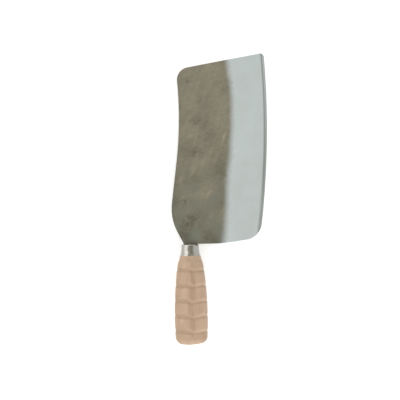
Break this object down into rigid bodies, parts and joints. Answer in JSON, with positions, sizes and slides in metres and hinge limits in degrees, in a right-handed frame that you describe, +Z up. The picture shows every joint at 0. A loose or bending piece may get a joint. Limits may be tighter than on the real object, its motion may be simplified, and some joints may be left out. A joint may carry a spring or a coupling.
{
  "type": "chinese cleaver",
  "caption": "Broad kitchen cleaver with a forged, taper-ground laminated blade, a flared sheet-steel ferrule and a round carved wooden handle.",
  "frame": {"origin": "on the table under the middle of the knife's length and width, as it lies at rest", "axes": "+Y along the handle towards the blade's tip end, +X towards the cutting edge, +Z up from the table that the knife lies on"},
  "size_m": [0.1056, 0.3142, 0.0378],
  "materials": {
    "forged_iron": "black-brown forge scale on the cheeks, bare ground steel on the bevel",
    "edge_steel": "ground and honed",
    "tang_iron": "forged, dark",
    "sheet_steel": "drawn sheet, bright",
    "wood": "pale hardwood, carved and thinly waxed",
    "washer_steel": "plain washer, dull"
  },
  "bodies": {
    "root": {"upper_cladding": "forged_iron", "lower_cladding": "forged_iron", "edge_steel": "edge_steel", "tang": "tang_iron", "ferrule": "sheet_steel", "handle": "wood", "butt_washer": "washer_steel"}
  },
  "joints": []
}
